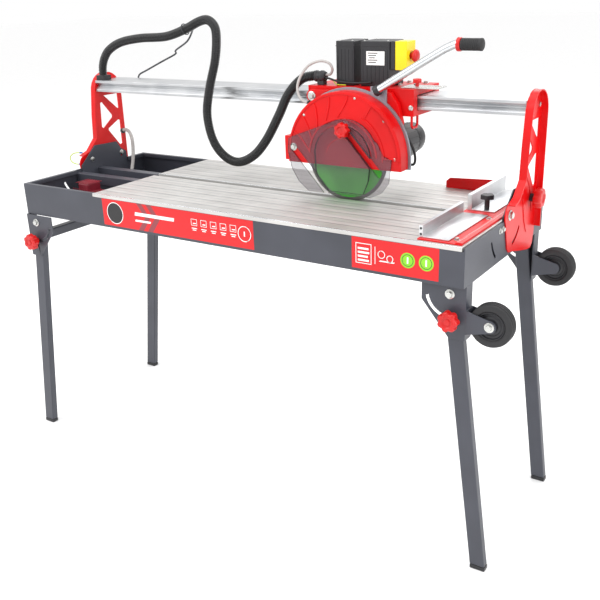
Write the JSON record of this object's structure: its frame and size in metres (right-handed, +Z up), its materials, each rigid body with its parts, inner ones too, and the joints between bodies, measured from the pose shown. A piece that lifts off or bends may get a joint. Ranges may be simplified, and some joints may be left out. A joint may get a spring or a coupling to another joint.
{
  "type": "wet tile saw",
  "caption": "Bridge-type wet tile saw: water tray on folding legs with wheels, tilting rail bridge, sliding plunge head with guarded blade, fences and safety switch.",
  "frame": {"origin": "middle of the saw's footprint, on the floor", "axes": "+X along the tray towards the end with the wheels, +Y away from the operator, +Z up"},
  "size_m": [1.6902, 0.632, 1.3647],
  "materials": {
    "tray_paint": "satin powder coat",
    "red_paint": "gloss powder coat",
    "aluminium": "mill finish extrusion",
    "zinc": "bright zinc plate",
    "cast_metal": "sand cast",
    "black_plastic": "moulded",
    "black_rubber": "moulded",
    "tyre": "moulded",
    "red_plastic": "moulded",
    "dark_red_plastic": "moulded",
    "yellow_plastic": "moulded",
    "green_plastic": "moulded",
    "green_blade": "painted steel",
    "smoke_plastic": "clear smoked sheet"
  },
  "bodies": {
    "saw_frame": {"tray": "tray_paint", "beam_front": "tray_paint", "beam_rear": "tray_paint", "table_front": "aluminium", "table_rear": "aluminium", "tilt_bracket_left": "tray_paint", "tilt_bracket_right": "tray_paint", "pump": "dark_red_plastic", "leg_bracket_left_near": "tray_paint", "leg_bracket_left_far": "tray_paint", "leg_bracket_right_near": "tray_paint", "leg_bracket_right_far": "tray_paint", "fence_base": "red_paint", "fence_front": "aluminium"},
    "left_legs": {"leg_left_near": "tray_paint", "leg_left_far": "tray_paint", "foot_left_near": "black_rubber", "foot_left_far": "black_rubber", "leg_crossbar": "tray_paint"},
    "right_leg_near": {"leg_right_near": "tray_paint", "foot_right_near": "black_rubber"},
    "right_leg_far": {"leg_right_far": "tray_paint", "foot_right_far": "black_rubber"},
    "bridge": {"column_left": "red_paint", "column_right": "red_paint", "rail": "aluminium", "hose_clamp": "black_plastic", "hose_support_wire": "zinc", "hose": "black_rubber"},
    "carriage": {"carriage": "red_paint", "stop_plate": "zinc", "cable_gland": "black_plastic", "control_box_left": "black_plastic", "control_box_right": "black_plastic", "switch_base": "black_plastic"},
    "head": {"blade_cover": "red_paint", "back_plate": "cast_metal", "head_arm": "red_paint", "motor": "black_plastic", "handle": "aluminium", "handle_grip": "black_rubber"},
    "leg_knob_left_near": {"leg_knob_left_near": "red_plastic"},
    "leg_knob_left_far": {"leg_knob_left_far": "red_plastic"},
    "leg_knob_right_near": {"leg_knob_right_near": "red_plastic"},
    "leg_knob_right_far": {"leg_knob_right_far": "red_plastic"},
    "wheel_near": {"wheel_near": "tyre"},
    "wheel_far": {"wheel_far": "tyre"},
    "tilt_knob_left": {"tilt_knob_left": "red_plastic"},
    "tilt_knob_right": {"tilt_knob_right": "red_plastic"},
    "lock_knob": {"lock_knob": "red_plastic"},
    "switch_lid": {"switch_lid": "yellow_plastic"},
    "stop_button": {"stop_button": "red_plastic"},
    "start_button": {"start_button": "green_plastic"},
    "blade": {"blade": "green_blade"},
    "guard": {"guard": "smoke_plastic"},
    "guard_knob": {"guard_knob": "red_plastic"},
    "fence_rear": {"fence_rear": "aluminium"},
    "fence_knob": {"fence_knob": "black_plastic"},
    "mitre_arm": {"mitre_arm": "red_paint"}
  },
  "joints": [
    {"name": "bridge_tilt", "type": "hinge", "parent": "saw_frame", "child": "bridge", "pos_m": [-0.01736, 0, 0.8877], "axis": [1, 0, 0], "range_deg": [0, 45], "deforming": ["hose"]},
    {"name": "carriage_travel", "type": "slide", "parent": "bridge", "child": "carriage", "axis": [1, 0, 0], "range_m": [-0.68, 0.185], "deforming": ["hose"]},
    {"name": "plunge", "type": "hinge", "parent": "carriage", "child": "head", "pos_m": [0.13264, 0.047, 1.15], "axis": [0, -1, 0], "range_deg": [0, 8]},
    {"name": "blade_spin", "type": "hinge", "parent": "head", "child": "blade", "pos_m": [0.25964, 0, 0.995], "axis": [0, 1, 0], "continuous": true},
    {"name": "guard_slide", "type": "slide", "parent": "head", "child": "guard", "axis": [-0.6769, 0, 0.7361], "range_m": [0, 0.13]},
    {"name": "guard_knob_turn", "type": "hinge", "parent": "head", "child": "guard_knob", "pos_m": [0.27064, -0.03, 1.074], "axis": [0, 1, 0], "continuous": true},
    {"name": "left_legs_fold", "type": "hinge", "parent": "saw_frame", "child": "left_legs", "pos_m": [-0.72636, 0, 0.755], "axis": [0, -1, 0], "range_deg": [0, 90]},
    {"name": "right_leg_near_fold", "type": "hinge", "parent": "saw_frame", "child": "right_leg_near", "pos_m": [0.69164, 0, 0.755], "axis": [0, 1, 0], "range_deg": [0, 90]},
    {"name": "right_leg_far_fold", "type": "hinge", "parent": "saw_frame", "child": "right_leg_far", "pos_m": [0.69164, 0, 0.755], "axis": [0, 1, 0], "range_deg": [0, 90]},
    {"name": "leg_knob_left_near_turn", "type": "hinge", "parent": "left_legs", "child": "leg_knob_left_near", "pos_m": [-0.73419, -0.3, 0.69551], "axis": [0, 1, 0], "continuous": true},
    {"name": "leg_knob_left_far_turn", "type": "hinge", "parent": "left_legs", "child": "leg_knob_left_far", "pos_m": [-0.73419, 0.3, 0.69551], "axis": [0, 1, 0], "continuous": true},
    {"name": "leg_knob_right_near_turn", "type": "hinge", "parent": "right_leg_near", "child": "leg_knob_right_near", "pos_m": [0.69947, -0.3, 0.69551], "axis": [0, 1, 0], "continuous": true},
    {"name": "leg_knob_right_far_turn", "type": "hinge", "parent": "right_leg_far", "child": "leg_knob_right_far", "pos_m": [0.69947, 0.3, 0.69551], "axis": [0, 1, 0], "continuous": true},
    {"name": "wheel_near_roll", "type": "hinge", "parent": "saw_frame", "child": "wheel_near", "pos_m": [0.79164, -0.237, 0.6897], "axis": [0, 1, 0], "continuous": true},
    {"name": "wheel_far_roll", "type": "hinge", "parent": "saw_frame", "child": "wheel_far", "pos_m": [0.79164, 0.237, 0.6897], "axis": [0, 1, 0], "continuous": true},
    {"name": "tilt_knob_left_turn", "type": "hinge", "parent": "bridge", "child": "tilt_knob_left", "pos_m": [-0.78736, 0.15, 0.9], "axis": [1, 0, 0], "continuous": true},
    {"name": "tilt_knob_right_turn", "type": "hinge", "parent": "bridge", "child": "tilt_knob_right", "pos_m": [0.75264, 0.15, 0.9], "axis": [1, 0, 0], "continuous": true},
    {"name": "rear_fence_slide", "type": "slide", "parent": "saw_frame", "child": "fence_rear", "axis": [0, -1, 0], "range_m": [0, 0.03]},
    {"name": "fence_knob_turn", "type": "hinge", "parent": "fence_rear", "child": "fence_knob", "pos_m": [0.65764, 0.045, 0.91], "axis": [0, 0, 1], "continuous": true},
    {"name": "mitre_swing", "type": "hinge", "parent": "saw_frame", "child": "mitre_arm", "pos_m": [0.59264, 0.24, 0.89], "axis": [0, 0, 1], "range_deg": [0, 45]},
    {"name": "lock_knob_turn", "type": "hinge", "parent": "carriage", "child": "lock_knob", "pos_m": [0.43264, 0.0865, 1.19], "axis": [0, 0, 1], "continuous": true},
    {"name": "switch_lid_open", "type": "hinge", "parent": "carriage", "child": "switch_lid", "pos_m": [0.36844, 0.11, 1.296], "axis": [0, -1, 0], "range_deg": [0, 100]},
    {"name": "stop_button_press", "type": "slide", "parent": "switch_lid", "child": "stop_button", "axis": [-1, 0, 0], "range_m": [0, 0.004], "stiffness_N_per_m": 3000},
    {"name": "start_button_press", "type": "slide", "parent": "carriage", "child": "start_button", "axis": [-1, 0, 0], "range_m": [0, 0.002], "stiffness_N_per_m": 300}
  ]
}
